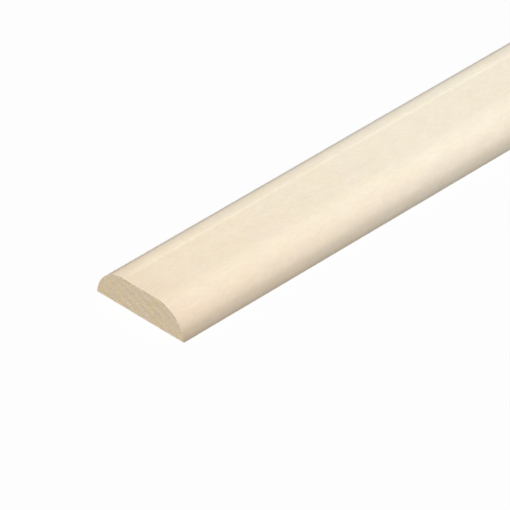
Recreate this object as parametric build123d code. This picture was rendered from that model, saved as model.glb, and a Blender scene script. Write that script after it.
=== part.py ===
from build123d import *
import os
from math import asin, degrees, sqrt

# A D-shaped timber moulding: one straight length of planed stock with a flat back, a flat
# crown and a quarter round along each side. It lies on its back. X runs along the length,
# Y across the width and Z up out of the back. The origin is the middle of the back.

# Driving sizes in millimetres
LENGTH = 2400.0  # a stock length, cut square at both ends
WIDTH = 21.0  # across the flat back
THICKNESS = 6.0  # from the back to the crown
ROUND_RADIUS = 6.5  # of the round along each side
EDGE_LAND = 0.3  # least height of the square edge between the round and the back


def side_round(side):
    """The quarter round from the crown down to the edge on one side, +1 or -1."""
    centre = (side * crown_half_width(), THICKNESS - ROUND_RADIUS)
    sweep = degrees(asin(round_run() / ROUND_RADIUS))
    return CenterArc(centre, ROUND_RADIUS, 90, -side * sweep)


def round_drop():
    """How far the round comes down: to the vertical, or to the land if it gets there first."""
    return min(ROUND_RADIUS, THICKNESS - EDGE_LAND)


def round_run():
    """How far the round reaches across the section."""
    return sqrt(ROUND_RADIUS**2 - (ROUND_RADIUS - round_drop()) ** 2)


def crown_half_width():
    """Half of the flat that is left on top between the two rounds."""
    return WIDTH / 2 - round_run()


def d_section():
    """The closed outline of the moulding, seen along its length."""
    right = side_round(+1)
    left = side_round(-1)
    crown = Line(left @ 0, right @ 0)
    back_and_edges = Polyline(
        right @ 1,
        (WIDTH / 2, 0),
        (-WIDTH / 2, 0),
        left @ 1,
    )
    return make_face([crown, right, back_and_edges, left])


def d_moulding():
    """The section run along the whole length, centred on the origin."""
    start = Plane.YZ.offset(-LENGTH / 2)
    return extrude(start * d_section(), LENGTH)


os.makedirs("parts", exist_ok=True)
moulding = d_moulding()
moulding.label = "d_moulding"
export_step(moulding, "parts/d_moulding.step")
print(f"crown {2 * crown_half_width():.2f} mm wide, round {round_drop():.2f} mm deep")
print(f"volume {moulding.volume:.0f} mm3")
print(f"box from {moulding.bounding_box().min} to {moulding.bounding_box().max}")
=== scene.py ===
# %% [markdown]
# # A length of D-shaped timber moulding
# The real object is one stick of pale, close-grained timber, run through a moulding machine. Its back
# is flat, a rounded corner runs down each side, and a flat crown is left between the two rounds.
# Nothing is joined to it, so there is one piece to model, and the work goes into its section, its sawn
# ends and its bare wood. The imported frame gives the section's place and size, so it is loaded first.

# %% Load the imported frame
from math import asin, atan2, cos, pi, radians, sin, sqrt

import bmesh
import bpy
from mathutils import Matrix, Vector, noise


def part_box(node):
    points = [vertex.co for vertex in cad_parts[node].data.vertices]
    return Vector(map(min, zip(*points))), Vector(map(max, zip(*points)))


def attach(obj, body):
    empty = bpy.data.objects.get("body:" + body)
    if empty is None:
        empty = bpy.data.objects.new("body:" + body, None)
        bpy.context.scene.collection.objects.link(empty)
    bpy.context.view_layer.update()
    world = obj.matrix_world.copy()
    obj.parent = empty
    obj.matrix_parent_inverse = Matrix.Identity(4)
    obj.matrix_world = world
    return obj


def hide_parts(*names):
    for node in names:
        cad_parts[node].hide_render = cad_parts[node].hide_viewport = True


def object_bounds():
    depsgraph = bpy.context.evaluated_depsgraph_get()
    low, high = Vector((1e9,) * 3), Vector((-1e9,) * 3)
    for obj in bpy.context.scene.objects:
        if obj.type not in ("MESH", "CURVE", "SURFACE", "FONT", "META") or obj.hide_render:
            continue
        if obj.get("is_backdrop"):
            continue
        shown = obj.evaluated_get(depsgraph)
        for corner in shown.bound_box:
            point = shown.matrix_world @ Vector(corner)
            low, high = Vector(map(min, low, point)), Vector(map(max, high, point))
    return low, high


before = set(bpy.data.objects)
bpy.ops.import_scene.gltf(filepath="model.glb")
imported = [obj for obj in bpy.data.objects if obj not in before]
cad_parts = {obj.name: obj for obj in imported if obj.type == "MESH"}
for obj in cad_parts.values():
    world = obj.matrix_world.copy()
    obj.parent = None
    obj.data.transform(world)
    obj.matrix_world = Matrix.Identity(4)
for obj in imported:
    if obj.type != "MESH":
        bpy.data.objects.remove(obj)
cad_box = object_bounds()

# %% [markdown]
# ## Sizes
# A moulding is ordered by its width, thickness and length, and those three come from the frame's box.
# The cutter that shaped it sets the rest: the radius of the round and the thin square edge that is
# left above the back. Everything here is in metres, so small sizes are written as millimetres times MM.

MM = 0.001
NODE = "d_moulding"
low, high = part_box(NODE)
LENGTH = high.x - low.x
WIDTH = high.y - low.y
THICKNESS = high.z - low.z
ROUND_RADIUS = 6.5 * MM
EDGE_LAND = 0.3 * MM
round_drop = min(ROUND_RADIUS, THICKNESS - EDGE_LAND)
round_run = sqrt(ROUND_RADIUS**2 - (ROUND_RADIUS - round_drop) ** 2)
crown_half = WIDTH / 2 - round_run
print(f"stock {LENGTH / MM:.0f} x {WIDTH / MM:.1f} x {THICKNESS / MM:.1f} mm")
print(f"crown {2 * crown_half / MM:.1f} mm wide")

# %% [markdown]
# ## Camera
# The camera is set before anything is made, so that each step can be looked at in the photograph's own
# frame. A very long lens from about a metre away makes the two long edges run almost parallel. The
# camera is turned and raised first, and then slid sideways until the lower middle of the sawn end lies
# at its place in the picture. Sliding keeps the lens unshifted, which a turned view needs as well.

# %% Set the camera
PICTURE = 510  # pixels on each side
SENSOR = 36 * MM
LENS = 425.9 * MM
CAMERA_TURN = radians(-45.13)
CAMERA_RISE = radians(35.66)
CAMERA_DISTANCE = 1.022
END_IN_PICTURE = (140.1, 317.0)  # where the lower middle of the sawn end lies, in pixels

back = Vector(
    (
        sin(CAMERA_TURN) * cos(CAMERA_RISE),
        -cos(CAMERA_TURN) * cos(CAMERA_RISE),
        sin(CAMERA_RISE),
    )
)
right = Vector((cos(CAMERA_TURN), sin(CAMERA_TURN), 0))
up = back.cross(right)
pixel = SENSOR / PICTURE / LENS * CAMERA_DISTANCE
slide = right * (PICTURE / 2 - END_IN_PICTURE[0]) + up * (END_IN_PICTURE[1] - PICTURE / 2)
end_middle = Vector((low.x, (low.y + high.y) / 2, low.z))

camera_data = bpy.data.cameras.new("camera")
camera_data.sensor_width = SENSOR / MM
camera_data.lens = LENS / MM
camera_data.clip_start = 0.05
camera_data.clip_end = 100
camera = bpy.data.objects.new("camera", camera_data)
camera.location = end_middle + back * CAMERA_DISTANCE + slide * pixel
camera.rotation_euler = back.to_track_quat("Z", "Y").to_euler()
bpy.context.scene.collection.objects.link(camera)
bpy.context.scene.camera = camera
print("camera at", [round(v, 4) for v in camera.location])

# %% [markdown]
# ## The outline
# The section could be typed in as a list of points, but a cutter doesn't work that way. Half of it is
# drawn here by pushing one vertex about: out along the crown, round the cutter's radius with a spin,
# down the square edge and back to the middle. A mirror gives the other half, so both rounds are alike.
# Just before and after the shoulder, where crown and round meet, the points lie close together, because
# a step as fine as a hair will be cut there.

# %% Draw half of the outline
ROUND_STEPS = 24
CROWN_CUTS = 8
SHOULDER_STRIP = 0.26 * MM
SHOULDER_CUTS = 2
BACK_CUTS = 5
WELD = 0.01 * MM


def push(shape, vertex, move):
    """Draws an edge from a vertex and returns the vertex at its other end."""
    made = bmesh.ops.extrude_vert_indiv(shape, verts=[vertex])
    bmesh.ops.translate(shape, verts=made["verts"], vec=move)
    return made["verts"][0], made["edges"][0]


def half_outline(shape):
    """The outline from the middle of the crown to the middle of the back, on the +Y side."""
    crown_middle = shape.verts.new((low.x, 0, high.z))
    near_shoulder, crown = push(shape, crown_middle, (0, crown_half - SHOULDER_STRIP, 0))
    shoulder, strip = push(shape, near_shoulder, (0, SHOULDER_STRIP, 0))
    turned = bmesh.ops.spin(
        shape,
        geom=[shoulder],
        cent=(low.x, crown_half, high.z - ROUND_RADIUS),
        axis=(1, 0, 0),
        angle=-asin(round_run / ROUND_RADIUS),
        steps=ROUND_STEPS,
        use_duplicate=False,
    )
    round_start = next(e for e in shoulder.link_edges if e != strip)
    round_foot = next(v for v in turned["geom_last"] if isinstance(v, bmesh.types.BMVert))
    corner, _ = push(shape, round_foot, (0, 0, low.z - round_foot.co.z))
    _, flat_back = push(shape, corner, (0, -corner.co.y, 0))
    bmesh.ops.subdivide_edges(shape, edges=[crown], cuts=CROWN_CUTS)
    bmesh.ops.subdivide_edges(shape, edges=[strip, round_start], cuts=SHOULDER_CUTS)
    bmesh.ops.subdivide_edges(shape, edges=[flat_back], cuts=BACK_CUTS)


section = bmesh.new()
half_outline(section)
bmesh.ops.mirror(section, geom=section.verts[:] + section.edges[:], merge_dist=WELD, axis="Y")
print(f"outline of {len(section.verts)} points and {len(section.edges)} edges")

# %% [markdown]
# ## The sawn end
# The outline is filled to make the end's face. One flat face can't carry the marks of a saw, so a
# narrow rim is inset and the rest is sliced both ways into small squares. This is done now, while the
# mesh is only the end, because the pull that follows carries the same squares to the far end.

# %% Fill the end and slice it
RIM = 0.05 * MM
SLICE = 0.33 * MM
CLOSE = RIM / 100


def region(faces):
    """The faces with all their edges and corners, as the operators that work on an area ask for."""
    # A dict keeps each one once, and in the same order on each run, which a set doesn't
    edges = dict.fromkeys(e for f in faces for e in f.edges)
    corners = dict.fromkeys(v for f in faces for v in f.verts)
    return [*faces, *edges, *corners]


def slice_faces(shape, faces, axis, start, stop):
    """Cuts the faces by planes square to one axis, SLICE apart, and returns what they become."""
    direction = Vector((0, 0, 0))
    direction[axis] = 1
    place = start + SLICE
    while place < stop:
        cut = bmesh.ops.bisect_plane(
            shape,
            geom=region(faces),
            dist=CLOSE,
            plane_co=direction * place,
            plane_no=direction,
        )
        faces = [g for g in cut["geom"] if isinstance(g, bmesh.types.BMFace)]
        place += SLICE
    return faces


end_face = bmesh.ops.contextual_create(section, geom=section.edges[:])["faces"][0]
bmesh.ops.inset_region(
    section, faces=[end_face], thickness=RIM, use_boundary=True, use_even_offset=True
)
inner = max(section.faces, key=lambda f: f.calc_area())
inner_faces = slice_faces(section, [inner], 1, low.y, high.y)
inner_faces = slice_faces(section, inner_faces, 2, low.z, high.z)
print(f"end of {len(section.faces)} faces")

# %% [markdown]
# ## Girth
# A strip of timber is measured in two ways: along its length, and round its girth. The pattern map at
# the end of the lesson needs the second one, and it is easy to read off now, when only the outline's
# own points are there. They are sorted by their angle round the section's middle and the distance is
# added up from point to point. Stored on the vertices, it is copied along by everything that follows.

# %% Measure round the section
girth = section.verts.layers.float.new("girth")
core = Vector((low.x, 0, THICKNESS / 2))


def bearing(vertex):
    """The angle of a vertex round the section's middle, from straight down."""
    return atan2(vertex.co.y, core.z - vertex.co.z) % (2 * pi)


def measure_girth(shape):
    """Stores each outline vertex's distance round the section and returns the whole distance."""
    outline = {v for e in shape.edges if e.is_boundary for v in e.verts}
    walked = 0
    ordered = sorted(outline, key=bearing)
    for before, vertex in zip([ordered[0], *ordered], ordered):
        walked += (vertex.co - before.co).length
        vertex[girth] = walked
    return walked + (ordered[0].co - ordered[-1].co).length


whole_girth = measure_girth(section)
print(f"girth {whole_girth / MM:.1f} mm")

# %% [markdown]
# ## The length
# The end is pulled out along X in two runs, as one solid. The first run is the stretch by the sawn end
# that is seen close up, so rings are cut round it every few millimetres. The rest needs fewer. The
# rings carry the small unevenness of real timber later on.

# %% Pull the length
CLOSE_RUN = 120 * MM
CLOSE_STEP = 2 * MM
LONG_STEP = 6 * MM


def pull(shape, faces, run, step):
    """Pulls faces along X, cuts rings round the new sides and returns the faces at the far end."""
    grown = bmesh.ops.extrude_face_region(shape, geom=region(faces))["geom"]
    moved = [g for g in grown if isinstance(g, bmesh.types.BMVert)]
    bmesh.ops.translate(shape, verts=moved, vec=(run, 0, 0))
    sides = [e for v in moved for e in v.link_edges if e.calc_length() > run / 2]
    bmesh.ops.subdivide_edges(shape, edges=sides, cuts=round(run / step) - 1, use_grid_fill=True)
    return [g for g in grown if isinstance(g, bmesh.types.BMFace)]


far_faces = pull(section, section.faces[:], CLOSE_RUN, CLOSE_STEP)
far_faces = pull(section, far_faces, LENGTH - CLOSE_RUN, LONG_STEP)
bmesh.ops.recalc_face_normals(section, faces=section.faces)
print(f"{len(section.faces)} faces, volume {section.calc_volume() / MM**3:.0f} mm3")

# %% [markdown]
# ## What the cutters left
# A straight extrusion looks drawn, not made. On the real stick the crown and the rounds are cut by
# different knives, and along one shoulder the crown's knife went a hair deeper. That leaves a fine step
# up to the round, which catches the light as a pale line, stronger in some places than in others. The
# wood also moved a few hundredths of a millimetre as it passed the knives. Both are cut down from the
# stock's full size, because a knife only takes wood away.

# %% Leave the shoulder line and the slow unevenness
LINE_HEIGHT = 0.095 * MM
LINE_START = 0.17 * MM
LINE_WIDTH = 0.34 * MM
LINE_USUAL = 0.75
LINE_PATCHINESS = 0.7
LINE_WAVE = 26 * MM
LINE_NOISE_ROW = 16.9
WAVER = 0.025 * MM
WAVER_LENGTH = 26 * MM
WAVER_WIDTH = 6 * MM


def as_share(wave):
    """A wave that swings between -1 and 1, as a share from 0 to 1."""
    return 0.5 + 0.5 * wave


def line_strength(x):
    """How strong the shoulder line is at a place along the length, from 0 to 1."""
    patches = noise.noise(Vector((x / LINE_WAVE, LINE_NOISE_ROW, 0)))
    return max(0, min(1, LINE_USUAL + LINE_PATCHINESS * patches))


def cut_down(vertex):
    """Lowers a vertex where the knives took a little more, and less so towards the flat back."""
    place = vertex.co
    share = place.z / THICKNESS
    climb = (place.y - crown_half + LINE_START) / LINE_WIDTH
    depth = LINE_HEIGHT * line_strength(place.x) * (1 - max(0, min(1, climb)))
    wave = noise.noise(Vector((place.x / WAVER_LENGTH, place.y / WAVER_WIDTH, place.z / WAVER_WIDTH)))
    vertex.co.z -= share * (depth + WAVER * as_share(wave))


for vertex in section.verts:
    cut_down(vertex)
print(f"highest point now {max(v.co.z for v in section.verts) / MM:.3f} mm")

# %% [markdown]
# ## What the saw left
# A crosscut saw leaves a face that is flat but not smooth: its teeth score faint arcs, the fibres stand
# at slightly different heights, and the arris all round is broken rather than sharp. The squares of the
# end face are pushed in by that much. The outermost ring of points is told apart by its long edges,
# which run off along the stick. It gets a depth of its own, which makes the rim a broken arris, with a
# few small nicks where the fibres tore.

# %% Mark both ends
SCORE_DEPTH = 0.03 * MM
SCORE_PITCH = 1.7 * MM
BLADE_CENTRE = Vector((0, 62 * MM, -138 * MM))
FIBRE_DEPTH = 0.05 * MM
FIBRE_SIZE = 0.6 * MM
ARRIS_DEPTH = 0.03 * MM
NICK_DEPTH = 0.25 * MM
NICK_SIZE = 1.1 * MM
NICK_LEVEL = 0.35


def end_depth(place):
    """How far the saw's marks lie under the full length at a place on an end."""
    sweep = (Vector((0, place.y, place.z)) - BLADE_CENTRE).length
    score = as_share(sin(2 * pi * sweep / SCORE_PITCH))
    fibres = as_share(noise.noise(place / FIBRE_SIZE))
    return SCORE_DEPTH * score + FIBRE_DEPTH * fibres


def nick_depth(place):
    """How much deeper the arris is torn at a place round the end."""
    torn = noise.noise(place / NICK_SIZE) - NICK_LEVEL
    return NICK_DEPTH * max(0, torn)


def mark_end(shape, end, inwards):
    """Pushes the vertices of one end in along the length by the saw's marks."""
    on_end = [v for v in shape.verts if abs(v.co.x - end) < CLOSE]
    arris = {v for v in on_end if any(e.calc_length() > CLOSE_STEP / 2 for e in v.link_edges)}
    for vertex in on_end:
        depth = end_depth(vertex.co)
        if vertex in arris:
            depth = ARRIS_DEPTH + nick_depth(vertex.co)
        vertex.co.x += inwards * depth


mark_end(section, low.x, 1)
mark_end(section, high.x, -1)
ends = [v.co.x for v in section.verts]
print(f"length now {(max(ends) - min(ends)) / MM:.2f} mm")

# %% [markdown]
# ## One solid with three finishes
# The bmesh becomes an object at the origin, with its place in its mesh, which is also where its wood
# grain is worked out from. It rides on the part's one body and stands for the plain solid, which is
# hidden. The faces are shaded smooth, apart from the true arrises: any edge that turns through more
# than a few tens of degrees is marked sharp. Each face notes which of three finishes it has: the planed
# face, the sawn end, or the back, which is planed in a hurry because nobody sees it.

# %% Make the object
SHARP_TURN = radians(28)
FACING = 0.9  # how squarely a face looks along an axis to count as an end or as the back
FINISHES = ("planed_face", "sawn_end", "planed_back")

piece_mesh = bpy.data.meshes.new("moulding_stick")
moulding = bpy.data.objects.new("moulding_stick", piece_mesh)
bpy.context.scene.collection.objects.link(moulding)
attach(moulding, "root")
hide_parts(NODE)

for face in section.faces:
    face.smooth = True
    if abs(face.normal.x) > FACING:
        face.material_index = FINISHES.index("sawn_end")
    elif face.normal.z < -FACING:
        face.material_index = FINISHES.index("planed_back")
for edge in section.edges:
    edge.smooth = edge.calc_face_angle(0) < SHARP_TURN
print(f"{sum(not e.smooth for e in section.edges)} sharp edges")

# %% [markdown]
# ## A map for its patterns
# The wood's grain needs no map, because it is worked out from each point's place in the stick. A model
# that leaves Blender does need one, and a stick a hundred times longer than it is wide fills a square
# very badly. So the map is laid out as a sawyer would stack it: the close-up run gets the tallest row,
# the rest is cut into equal lengths that lie under each other, and the two ends sit side by side.

# %% Lay the map out in rows
GAP = 0.008
CLOSE_ROW = 0.32
ROWS = 5
END_SCALE = 0.45 / WIDTH
END_TILT = 0.5  # a face of the broken arris goes with the end if it looks that much along the stick


def row_of(x):
    """The row that a place along the length goes to: its start and run on the stick, foot and height."""
    far_height = (1 - CLOSE_ROW - THICKNESS * END_SCALE - GAP * (ROWS + 3)) / ROWS
    if x < low.x + CLOSE_RUN:
        return low.x, CLOSE_RUN, GAP, CLOSE_ROW
    run = (LENGTH - CLOSE_RUN) / ROWS
    row = int((x - low.x - CLOSE_RUN) / run)
    foot = GAP + CLOSE_ROW + GAP + row * (far_height + GAP)
    return low.x + CLOSE_RUN + row * run, run, foot, far_height


def lay_side(face, layer):
    """Maps a face of the long sides into its row: along the length by girth."""
    start, run, foot, height = row_of(face.calc_center_median().x)
    walked = [loop.vert[girth] for loop in face.loops]
    wraps = max(walked) - min(walked) > whole_girth / 2
    for loop, distance in zip(face.loops, walked):
        if wraps and distance < whole_girth / 2:
            distance += whole_girth
        across = GAP + (1 - 2 * GAP) * (loop.vert.co.x - start) / run
        loop[layer].uv = (across, foot + height * distance / whole_girth)


def lay_end(face, layer):
    """Maps a face of an end flat, into its place along the top of the map."""
    start = GAP if face.normal.x < 0 else 0.5 + GAP
    foot = 1 - GAP - THICKNESS * END_SCALE
    for loop in face.loops:
        place = loop.vert.co
        loop[layer].uv = (start + (place.y - low.y) * END_SCALE, foot + place.z * END_SCALE)


map_layer = section.loops.layers.uv.new("OFBake")
for face in section.faces:
    lay = lay_end if abs(face.normal.x) > END_TILT else lay_side
    lay(face, map_layer)
section.to_mesh(piece_mesh)
section.free()
print(f"map laid out for {len(piece_mesh.polygons)} faces")

# %% [markdown]
# ## Building finishes
# Every finish below is a tree of nodes, so a few small helpers come first. One adds a node and fills
# its sockets with values or with another node's output. One makes noise whose marks have a stated
# length, width and depth in metres, which is how grain is thought about at a bench. An effect that
# several finishes share is a node group with named inputs, so each finish can use its own strengths.

# %% Helpers for node trees
NOISE_MIDDLE = 0.5


def add_node(tree, kind, sockets=None, **settings):
    """Adds a node with its settings, and sets or links its input sockets."""
    made = tree.nodes.new(kind)
    for name, value in settings.items():
        setattr(made, name, value)
    for name, value in (sockets or {}).items():
        if isinstance(value, bpy.types.NodeSocket):
            tree.links.new(value, made.inputs[name])
        else:
            made.inputs[name].default_value = value
    return made


def worked_out(tree, operation, *values):
    """The result of one sum on up to three values."""
    return add_node(tree, "ShaderNodeMath", dict(enumerate(values)), operation=operation).outputs[0]


def spread(tree, value, from_low, from_high):
    """A smooth 0 to 1 as a value goes from one level to the other, and 0 or 1 outside them."""
    sockets = {"Value": value, "From Min": from_low, "From Max": from_high}
    made = add_node(tree, "ShaderNodeMapRange", sockets, interpolation_type="SMOOTHSTEP")
    return made.outputs["Result"]


def grain_noise(tree, point, size, detail):
    """Noise from 0 to 1 whose marks have the given length, width and depth."""
    scale = [1 / length for length in size]
    scaled = add_node(tree, "ShaderNodeMapping", {"Vector": point, "Scale": scale})
    sockets = {"Vector": scaled.outputs["Vector"], "Scale": 1, "Detail": detail}
    return add_node(tree, "ShaderNodeTexNoise", sockets).outputs[0]


def new_group(name, inputs, outputs):
    """A node group with named inputs and their usual values, and named outputs."""
    tree = bpy.data.node_groups.new(name, "ShaderNodeTree")
    for label, usual in inputs.items():
        socket = tree.interface.new_socket(label, in_out="INPUT", socket_type="NodeSocketFloat")
        socket.default_value = usual
    for label in outputs:
        tree.interface.new_socket(label, in_out="OUTPUT", socket_type="NodeSocketFloat")
    given = tree.nodes.new("NodeGroupInput").outputs
    result = tree.nodes.new("NodeGroupOutput").inputs
    return tree, given, result


def use_group(tree, group, **inputs):
    """Places a group in a material with its own input values, and returns its outputs."""
    placed = add_node(tree, "ShaderNodeGroup", node_tree=group)
    for label, value in inputs.items():
        placed.inputs[label].default_value = value
    return placed.outputs


# %% [markdown]
# ## Timber figure
# Wood is a bundle of long fibres laid down in rings. Both are worked out from the place in the solid,
# so the streaks on the face run into the dots on the end, as they do in a real stick. The tree's heart
# lay well outside this stick, so its rings are wide arcs, and this is a close, pale timber in which they
# hardly show. Fibres, broader streaks, soft clouds and yellower patches are each a noise stretched along
# the length, and the pores are the few highest places of a very fine one.

# %% Group: timber figure
RING_WIDTH = 2.3 * MM
HEART = (0, 34 * MM, 58 * MM)
RING_WANDER = 3 * MM
RING_RUN = (180 * MM, 14 * MM, 14 * MM)
FIBRE = (1.3 * MM, 0.42 * MM, 0.42 * MM)
STREAK = (90 * MM, 1.6 * MM, 1.6 * MM)
CLOUD = (4 * MM, 2 * MM, 2 * MM)
PORE = (5 * MM, 0.16 * MM, 0.16 * MM)
PORE_LEVELS = (0.66, 0.78)
YELLOW = (6 * MM, 2 * MM, 2 * MM)
YELLOW_LEVELS = (0.3, 0.7)
LATE_WOOD_STARTS = (0.3, 0.85)
LATE_WOOD_STOPS = (1, 0.9)


def late_wood(tree, point):
    """The darker, denser side of each yearly ring, from 0 to 1."""
    sockets = {"Vector": point, "Location": HEART, "Scale": (0, 1, 1)}
    across = add_node(tree, "ShaderNodeMapping", sockets).outputs["Vector"]
    from_heart = add_node(tree, "ShaderNodeVectorMath", {0: across}, operation="LENGTH")
    wander = worked_out(tree, "MULTIPLY", grain_noise(tree, point, RING_RUN, 1), RING_WANDER)
    distance = worked_out(tree, "ADD", from_heart.outputs["Value"], wander)
    years = worked_out(tree, "DIVIDE", distance, RING_WIDTH)
    year = worked_out(tree, "FRACT", years)
    growing = spread(tree, year, *LATE_WOOD_STARTS)
    resting = spread(tree, year, *LATE_WOOD_STOPS)
    return worked_out(tree, "MULTIPLY", growing, resting)


def make_timber_figure():
    """The group that gives the wood's tone, where it is yellow as straw, its fibres and its pores."""
    inputs = {"Rings": 0.1, "Fibres": 0.3, "Streaks": 0.3, "Clouds": 0.3, "Straw": 0.3, "Pores": 0.5}
    outputs = ("Tone", "Straw Mask", "Fibre Height", "Pore Mask")
    tree, given, result = new_group("timber_figure", inputs, outputs)
    point = tree.nodes.new("ShaderNodeTexCoord").outputs["Object"]
    fibre = grain_noise(tree, point, FIBRE, 3)
    marks = {
        "Rings": late_wood(tree, point),
        "Fibres": fibre,
        "Streaks": grain_noise(tree, point, STREAK, 2),
        "Clouds": grain_noise(tree, point, CLOUD, 3),
    }
    tone = NOISE_MIDDLE
    for label, mark in marks.items():
        centred = worked_out(tree, "SUBTRACT", mark, NOISE_MIDDLE)
        tone = worked_out(tree, "MULTIPLY_ADD", centred, given[label], tone)
    pores = spread(tree, grain_noise(tree, point, PORE, 0), *PORE_LEVELS)
    straw = spread(tree, grain_noise(tree, point, YELLOW, 0), *YELLOW_LEVELS)
    tree.links.new(tone, result["Tone"])
    tree.links.new(worked_out(tree, "MULTIPLY", straw, given["Straw"]), result["Straw Mask"])
    tree.links.new(fibre, result["Fibre Height"])
    tree.links.new(worked_out(tree, "MULTIPLY", pores, given["Pores"]), result["Pore Mask"])
    return tree


timber_figure = make_timber_figure()
print(f"{timber_figure.name}: {len(timber_figure.nodes)} nodes")

# %% [markdown]
# ## Rubbed arrises
# Wherever two faces of a stick meet, handling rubs the wood paler and a little fuzzy. A place is on an
# arris when it is close to two surfaces at once, so three distances are worked out: to the nearer end,
# to the back, and to the moulded face. The middle one of the three says how near an arris is. That needs
# no map and holds on every face of the stick.

# %% Group: rubbed arrises
RUB_SIZE = (0.9 * MM, 0.9 * MM, 0.9 * MM)
RUB_LEVELS = (0.3, 0.6)


def distance_to_moulded_face(tree, y, z):
    """How deep a place lies under the crown, the rounds or the square edges."""
    beside = worked_out(tree, "ABSOLUTE", y)
    past_shoulder = worked_out(tree, "MAXIMUM", worked_out(tree, "SUBTRACT", beside, crown_half), 0)
    above_centre = worked_out(tree, "SUBTRACT", z, THICKNESS - ROUND_RADIUS)
    sockets = {"X": past_shoulder, "Y": above_centre}
    from_centre = add_node(tree, "ShaderNodeCombineXYZ", sockets).outputs["Vector"]
    reach = add_node(tree, "ShaderNodeVectorMath", {0: from_centre}, operation="LENGTH")
    under_round = worked_out(tree, "SUBTRACT", ROUND_RADIUS, reach.outputs["Value"])
    inside_edge = worked_out(tree, "SUBTRACT", WIDTH / 2, beside)
    return worked_out(tree, "MINIMUM", under_round, inside_edge)


def make_arris_rub():
    """The group that gives a mask of the rubbed arrises."""
    tree, given, result = new_group("arris_rub", {"Width": 0.4 * MM}, ("Rub",))
    point = tree.nodes.new("ShaderNodeTexCoord").outputs["Object"]
    x, y, z = add_node(tree, "ShaderNodeSeparateXYZ", {"Vector": point}).outputs
    to_end = worked_out(tree, "SUBTRACT", LENGTH / 2, worked_out(tree, "ABSOLUTE", x))
    to_face = distance_to_moulded_face(tree, y, z)
    nearest = worked_out(tree, "MINIMUM", to_end, to_face)
    further = worked_out(tree, "MAXIMUM", to_end, to_face)
    middle = worked_out(tree, "MAXIMUM", nearest, worked_out(tree, "MINIMUM", further, z))
    rubbed = spread(tree, middle, given["Width"], 0)
    patchy = spread(tree, grain_noise(tree, point, RUB_SIZE, 2), *RUB_LEVELS)
    tree.links.new(worked_out(tree, "MULTIPLY", rubbed, patchy), result["Rub"])
    return tree


arris_rub = make_arris_rub()
print(f"{arris_rub.name}: {len(arris_rub.nodes)} nodes")

# %% [markdown]
# ## Torn fibres
# A saw tears some of the fibres that it crosses, and they stand up from the end as short pale threads,
# half a millimetre or so long and winding, each with a sunk gap beside it whose darkness is painted
# shade. Noise gives such threads for nothing: the places where it passes its middle value lie on thin
# winding lines, those a little above that value lie beside them, and a second noise breaks the lines
# into short lengths.

# %% Group: torn fibres
THREAD = (2 * MM, 0.45 * MM, 0.28 * MM)
THREAD_PATCH = (2 * MM, 0.45 * MM, 0.35 * MM)
THREAD_LEVELS = (0.4, 0.6)
THREAD_REACH = 0.09
GAP_OFFSET = 0.14


def make_torn_fibres():
    """The group that gives masks of short threads and of the sunk gaps beside them, which are painted in
    shade, by the amount given.
    """
    tree, given, result = new_group("torn_fibres", {"Amount": 1}, ("Threads", "Shaded Gaps"))
    point = tree.nodes.new("ShaderNodeTexCoord").outputs["Object"]
    winding = grain_noise(tree, point, THREAD, 1)
    broken = spread(tree, grain_noise(tree, point, THREAD_PATCH, 0), *THREAD_LEVELS)
    strength = worked_out(tree, "MULTIPLY", broken, given["Amount"])
    for label, level in (("Threads", NOISE_MIDDLE), ("Shaded Gaps", NOISE_MIDDLE + GAP_OFFSET)):
        off_line = worked_out(tree, "ABSOLUTE", worked_out(tree, "SUBTRACT", winding, level))
        line = spread(tree, off_line, THREAD_REACH, 0)
        tree.links.new(worked_out(tree, "MULTIPLY", line, strength), result[label])
    return tree


torn_fibres = make_torn_fibres()
print(f"{torn_fibres.name}: {len(torn_fibres.nodes)} nodes")

# %% [markdown]
# ## Knife marks
# A planer's knives turn as the wood passes, so they leave a row of shallow scallops across the grain.
# Slow feed makes them fine and hard to see, as on the face. Fast feed leaves them further apart, as on
# the back. They are far too shallow to model, so they are a height for the bump.

# %% Group: knife marks
MARK_SIZE = (40 * MM, 9 * MM, 9 * MM)
MARKS_WANDER = 2  # pitches


def make_knife_marks():
    """The group that gives the height of the scallops that the knives leave."""
    tree, given, result = new_group("knife_marks", {"Pitch": 1.5 * MM}, ("Height",))
    point = tree.nodes.new("ShaderNodeTexCoord").outputs["Object"]
    x, _, _ = add_node(tree, "ShaderNodeSeparateXYZ", {"Vector": point}).outputs
    cuts = worked_out(tree, "DIVIDE", x, given["Pitch"])
    wander = grain_noise(tree, point, MARK_SIZE, 1)
    uneven = worked_out(tree, "MULTIPLY_ADD", wander, MARKS_WANDER, cuts)
    # Up and down once a pitch, then squared: the hollows are round, with a sharp ridge between them
    scallop = worked_out(tree, "PINGPONG", uneven, 0.5)
    height = worked_out(tree, "POWER", worked_out(tree, "MULTIPLY", scallop, 2), 2)
    tree.links.new(height, result["Height"])
    return tree


knife_marks = make_knife_marks()
print(f"{knife_marks.name}: {len(knife_marks.nodes)} nodes")

# %% [markdown]
# ## Wear and painted shade
# Towards its ends a stick has been in more light and air, and is a shade warmer, most of all in its last
# few millimetres. Round the section, four more masks paint light into the colour. The crown is a shade
# darker as painted shade, and the rounds are painted a shade warmer for the look of their shading. Low
# down they are darker as painted shade, and the far round, which turns away from the lamp, is much
# darker as painted shade. The group only says where each of these is, from the place in the stick. Their
# colours are set with the finishes.

# %% Group: wear and painted shade
WARM_RUN = 72 * MM
STAIN_RUN = 8 * MM
# The band of the crown painted a shade darker: painted shade
CROWN_SHADE_MIDDLE = -1.1 * MM
CROWN_SHADE_REACH = 5.5 * MM
CROWN_SHADE_FULLY = 4.2 * MM
# Beyond this the far round, turning away from the lamp, is darkened: painted shade
FAR_SHADE_FROM = 6.6 * MM
FAR_SHADE_FULLY = 7.6 * MM
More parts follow.
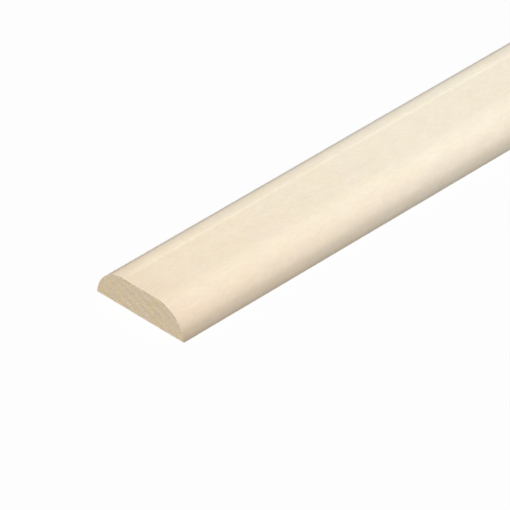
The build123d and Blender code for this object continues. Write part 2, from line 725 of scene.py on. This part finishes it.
# The rounds below this are painted warmer, a painted tint for the look of their shading
ROUND_WARMTH_UP_TO = 5.7 * MM
ROUND_WARMTH_FULLY = 3.8 * MM
# Low on the rounds the colour is darker towards the bottom: painted shade
LOW_SHADE_UP_TO = 3.1 * MM
LOW_SHADE_FULLY = 1.5 * MM


def make_wear_and_painted_shade():
    """The group that gives a mask for the ends' warmth and stain and for each painted shade or tint, of
    which the four painted ones follow the amount asked for.
    """
    outputs = ("Warmed", "Stained", "Painted Crown Shade", "Painted Far Shade", "Painted Round Warmth", "Painted Low Shade")
    tree, given, result = new_group("stick_wear", {"Amount": 1}, outputs)
    point = tree.nodes.new("ShaderNodeTexCoord").outputs["Object"]
    x, y, z = add_node(tree, "ShaderNodeSeparateXYZ", {"Vector": point}).outputs
    to_end = worked_out(tree, "SUBTRACT", LENGTH / 2, worked_out(tree, "ABSOLUTE", x))
    tree.links.new(spread(tree, to_end, WARM_RUN, 0), result["Warmed"])
    tree.links.new(spread(tree, to_end, STAIN_RUN, 0), result["Stained"])
    beside = worked_out(tree, "ABSOLUTE", worked_out(tree, "SUBTRACT", y, CROWN_SHADE_MIDDLE))
    # The darker crown, far round and foot are painted shade, and the warmer rounds are a painted tint of
    # their shading
    round_section = {
        "Painted Crown Shade": spread(tree, beside, CROWN_SHADE_REACH, CROWN_SHADE_FULLY),
        "Painted Far Shade": spread(tree, y, FAR_SHADE_FROM, FAR_SHADE_FULLY),
        "Painted Round Warmth": spread(tree, z, ROUND_WARMTH_UP_TO, ROUND_WARMTH_FULLY),
        "Painted Low Shade": spread(tree, z, LOW_SHADE_UP_TO, LOW_SHADE_FULLY),
    }
    for label, place in round_section.items():
        tree.links.new(worked_out(tree, "MULTIPLY", place, given["Amount"]), result[label])
    return tree


stick_wear = make_wear_and_painted_shade()
print(f"{stick_wear.name}: {len(stick_wear.nodes)} nodes")

# %% [markdown]
# ## The three finishes
# All three are the same timber, so one function puts each together: pale and deep wood mixed by the
# figure's tone, tinted by the ends' warmth and stain and by painted shade, darkened in the pores,
# darkened beside the torn threads as painted shade, and lightened on the arrises, with the same marks
# raised or sunk by a bump. The painted shade and tint round the section are the moulded face's own, so
# the ends and the back ask for none of them. End grain drinks in light, so it is deeper in colour than
# the planed face.

# %% Set the colours of the marks, the wear and the painted shade
STRAW = (1.04, 1, 0.86, 1)
PORE_COLOUR = (0.78, 0.74, 0.68, 1)
RUBBED_COLOUR = (0.9, 0.83, 0.71, 1)
THREAD_COLOUR = (0.94, 0.84, 0.66, 1)
# Painted shade in the gap beside each torn thread
GAP_SHADE_COLOUR = (0.8, 0.78, 0.74, 1)
# Warmed and Stained are the wood's own colour; the other four are painted shade and a painted warm tint
WEAR_AND_SHADE_TINTS = {
    "Warmed": (0.985, 0.93, 0.888, 1),
    "Stained": (0.97, 0.95, 0.927, 1),
    # Painted shade on the crown
    "Painted Crown Shade": (0.977, 0.972, 0.97, 1),
    # Painted shade on the far round
    "Painted Far Shade": (0.77, 0.77, 0.81, 1),
    # A painted warm tint on the shaded rounds
    "Painted Round Warmth": (1.035, 1, 0.995, 1),
    # Painted shade low on the rounds
    "Painted Low Shade": (0.922, 0.926, 0.915, 1),
}

# %% Helpers for a whole finish
GLOSS = 0.08
TONE_DULLS = 0.12  # how much rougher the deeper wood is than the pale
RUB_DULLS = 0.1
KNIFE_HEIGHT = 0.3  # of the knife marks, against fibres of 1


def blend(tree, share, first, second, way="MIX"):
    """A colour some share of the way from the first to the second, or multiplied by it."""
    # A mix node has sockets of its own for each kind of value. For colours they are 6, 7 and output 2.
    sockets = {0: share, 6: first, 7: second}
    made = add_node(tree, "ShaderNodeMix", sockets, data_type="RGBA", blend_type=way)
    return made.outputs[2]


def make_finish(
    name, pale, deep, figure, wear, threads, rub_width, knife_pitch, relief, roughness
):
    """One finish of the timber, from its colours and the strengths of its marks."""
    material = bpy.data.materials.new(name)
    material.use_nodes = True
    tree = material.node_tree
    shader = tree.nodes["Principled BSDF"]
    wood = use_group(tree, timber_figure, **figure)
    rub = use_group(tree, arris_rub, Width=rub_width)["Rub"]
    knife = use_group(tree, knife_marks, Pitch=knife_pitch)["Height"]
    torn = use_group(tree, torn_fibres, Amount=threads)
    worn_or_shaded = use_group(tree, stick_wear, Amount=wear)

    colour = blend(tree, wood["Tone"], (*pale, 1), (*deep, 1))
    colour = blend(tree, wood["Straw Mask"], colour, STRAW, way="MULTIPLY")
    # Tints for the ends' warmth and stain, and painted shade and painted warmth round the section
    for label, tint in WEAR_AND_SHADE_TINTS.items():
        colour = blend(tree, worn_or_shaded[label], colour, tint, way="MULTIPLY")
    colour = blend(tree, wood["Pore Mask"], colour, PORE_COLOUR, way="MULTIPLY")
    # Painted shade in the gaps beside the torn threads
    colour = blend(tree, torn["Shaded Gaps"], colour, GAP_SHADE_COLOUR, way="MULTIPLY")
    colour = blend(tree, torn["Threads"], colour, THREAD_COLOUR)
    colour = blend(tree, rub, colour, RUBBED_COLOUR)
    tree.links.new(colour, shader.inputs["Base Color"])

    dull = worked_out(tree, "MULTIPLY_ADD", wood["Tone"], TONE_DULLS, roughness)
    dull = worked_out(tree, "MULTIPLY_ADD", rub, RUB_DULLS, dull)
    tree.links.new(dull, shader.inputs["Roughness"])

    height = worked_out(tree, "MULTIPLY_ADD", knife, KNIFE_HEIGHT, wood["Fibre Height"])
    height = worked_out(tree, "SUBTRACT", height, wood["Pore Mask"])
    height = worked_out(tree, "ADD", height, torn["Threads"])
    height = worked_out(tree, "SUBTRACT", height, torn["Shaded Gaps"])
    bump = add_node(tree, "ShaderNodeBump", {"Height": height, "Distance": relief})
    tree.links.new(bump.outputs["Normal"], shader.inputs["Normal"])
    shader.inputs["Specular IOR Level"].default_value = GLOSS
    return material


# %% Make the finishes
finishes = {
    "planed_face": make_finish(
        "planed_face",
        pale=(0.915, 0.836, 0.69),
        deep=(0.835, 0.754, 0.605),
        figure={
            "Rings": 0.05,
            "Fibres": 1.5,
            "Streaks": 0.15,
            "Clouds": 0.95,
            "Straw": 0.16,
            "Pores": 0.1,
        },
        wear=1,
        threads=0,
        rub_width=0.12 * MM,
        knife_pitch=1.4 * MM,
        relief=0.004 * MM,
        roughness=0.62,
    ),
    "sawn_end": make_finish(
        "sawn_end",
        pale=(0.905, 0.801, 0.615),
        deep=(0.697, 0.617, 0.477),
        figure={
            "Rings": 0.05,
            "Fibres": 0.6,
            "Streaks": 0.15,
            "Clouds": 0.05,
            "Straw": 0.75,
            "Pores": 0.4,
        },
        wear=0,
        threads=0.65,
        rub_width=0.1 * MM,
        knife_pitch=1.7 * MM,
        relief=0.02 * MM,
        roughness=0.62,
    ),
    "planed_back": make_finish(
        "planed_back",
        pale=(0.9, 0.81, 0.655),
        deep=(0.81, 0.7, 0.54),
        figure={
            "Rings": 0.2,
            "Fibres": 0.7,
            "Streaks": 0.6,
            "Clouds": 0.6,
            "Straw": 0.5,
            "Pores": 0.3,
        },
        wear=0,
        threads=0.15,
        rub_width=0.5 * MM,
        knife_pitch=2.6 * MM,
        relief=0.012 * MM,
        roughness=0.52,
    ),
}
for finish in FINISHES:
    piece_mesh.materials.append(finishes[finish])
print("finishes:", ", ".join(m.name for m in piece_mesh.materials))

# %% [markdown]
# ## Light
# The photograph has one broad soft lamp, up and to the left of the camera, and a dim room. A sun lamp
# with a wide angle does that evenly along a stick this long, where a square lamp would fade. Two more
# shine up through the floor, as the light from a white table would. One comes from low behind the stick
# and keeps the foot of the side that faces away from going black. The other reaches only the back and
# the far end, which the first lamp doesn't light. The room's own light is a dim, slightly cool sky. The
# camera, and anything that reflects, sees plain white instead, so the background is white without any
# more light falling on the wood.

# %% Set the lamps
SOFT = radians(60)
NARROW = radians(4)
LAMPS = {
    "soft_key": {"place": (-0.68, -0.34, 0.9), "level": 3.58, "angle": SOFT},
    "low_fill": {"place": (0.5, 0.8, -0.35), "level": 0.7, "angle": SOFT},
    "under_lamp": {"place": (0.45, 0, -1), "level": 3.0, "angle": NARROW},
}


def hang_lamp(name, place, level, angle):
    """A distant lamp that shines at the stick from the side that place points to."""
    data = bpy.data.lights.new(name, "SUN")
    data.energy = level
    data.angle = angle
    lamp = bpy.data.objects.new(name, data)
    lamp.rotation_euler = Vector(place).to_track_quat("Z", "Y").to_euler()
    lamp.visible_camera = False
    bpy.context.scene.collection.objects.link(lamp)


for lamp_name, settings in LAMPS.items():
    hang_lamp(lamp_name, **settings)
print("lamps:", ", ".join(LAMPS))

# %% Set the room
ROOM_LEVEL = 0.18
ROOM_COLOUR = (0.96, 0.985, 1.03, 1)
BACKGROUND_WHITE = 0.986


def seen_directly(tree):
    """1 for what the camera sees itself or in a reflection or through glass, and 0 for lighting."""
    path = tree.nodes.new("ShaderNodeLightPath").outputs
    mirrored = worked_out(tree, "MAXIMUM", path["Is Camera Ray"], path["Is Glossy Ray"])
    return worked_out(tree, "MAXIMUM", mirrored, path["Is Transmission Ray"])


def mix_shaders(tree, share, first, second):
    """Joins two shaders, all of the first at a share of 0 and all of the second at 1."""
    sockets = {0: share, 1: first.outputs[0], 2: second.outputs[0]}
    return add_node(tree, "ShaderNodeMixShader", sockets)


room = bpy.data.worlds.new("room")
room.use_nodes = True
room_tree = room.node_tree
room_tree.nodes.clear()
dim = add_node(room_tree, "ShaderNodeBackground", {"Color": ROOM_COLOUR, "Strength": ROOM_LEVEL})
white = add_node(
    room_tree, "ShaderNodeBackground", {"Color": (1, 1, 1, 1), "Strength": BACKGROUND_WHITE}
)
room_look = mix_shaders(room_tree, seen_directly(room_tree), dim, white)
add_node(room_tree, "ShaderNodeOutputWorld", {"Surface": room_look.outputs[0]})
bpy.context.scene.world = room
bpy.context.scene.view_settings.view_transform = "Standard"
print(f"room at {ROOM_LEVEL}, background at {BACKGROUND_WHITE}")

# %% [markdown]
# ## Floor
# The stick lies on a plain white sweep. To the camera the floor is mostly its own even white, with a
# share of real surface left in so that the stick still rests in a faint soft shadow. To the light that
# bounces it is dull, so the underside of the rounds stays dark. From below it is clear, so that the
# back can be looked at, and it lets the lamp under it through.

# %% Lay the floor
FLOOR_HALF = 60
FLOOR_GAP = 0.02 * MM
SHADOW_SHARE = 0.06
SWEEP_WHITE = (0.9, 0.9, 0.9, 1)
BOUNCE_GREY = (0.05, 0.05, 0.05, 1)

floor_shape = bmesh.new()
bmesh.ops.create_grid(floor_shape, x_segments=1, y_segments=1, size=FLOOR_HALF)
bmesh.ops.translate(floor_shape, verts=floor_shape.verts, vec=(0, 0, low.z - FLOOR_GAP))
floor_mesh = bpy.data.meshes.new("floor")
floor_shape.to_mesh(floor_mesh)
floor_shape.free()
floor = bpy.data.objects.new("floor", floor_mesh)
bpy.context.scene.collection.objects.link(floor)
floor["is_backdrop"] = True

floor_finish = bpy.data.materials.new("white_sweep")
floor_finish.use_nodes = True
floor_tree = floor_finish.node_tree
floor_tree.nodes.clear()
even_white = add_node(
    floor_tree, "ShaderNodeEmission", {"Color": (1, 1, 1, 1), "Strength": BACKGROUND_WHITE}
)
real_white = add_node(floor_tree, "ShaderNodeBsdfDiffuse", {"Color": SWEEP_WHITE})
bounce = add_node(floor_tree, "ShaderNodeBsdfDiffuse", {"Color": BOUNCE_GREY})
clear = add_node(floor_tree, "ShaderNodeBsdfTransparent")
seen_floor = mix_shaders(floor_tree, SHADOW_SHARE, even_white, real_white)
front = mix_shaders(floor_tree, seen_directly(floor_tree), bounce, seen_floor)
behind = floor_tree.nodes.new("ShaderNodeNewGeometry").outputs["Backfacing"]
for_shadows = floor_tree.nodes.new("ShaderNodeLightPath").outputs["Is Shadow Ray"]
let_through = worked_out(floor_tree, "MAXIMUM", behind, for_shadows)
whole = mix_shaders(floor_tree, let_through, front, clear)
add_node(floor_tree, "ShaderNodeOutputMaterial", {"Surface": whole.outputs[0]})
floor_mesh.materials.append(floor_finish)
print(f"floor {2 * FLOOR_HALF} m square, {FLOOR_GAP / MM} mm under the back")

# %% [markdown]
# ## Sizes written down
# Blender only dresses the stick: it must not grow it. So the box of the solid that was loaded and the
# box of what is now here are both printed, side by side.

# %% Print the boxes and finish
visual_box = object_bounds()
for label, box in (("solid", cad_box), ("dressed", visual_box)):
    print(label, [[round(v / MM, 2) for v in corner] for corner in box], "mm")
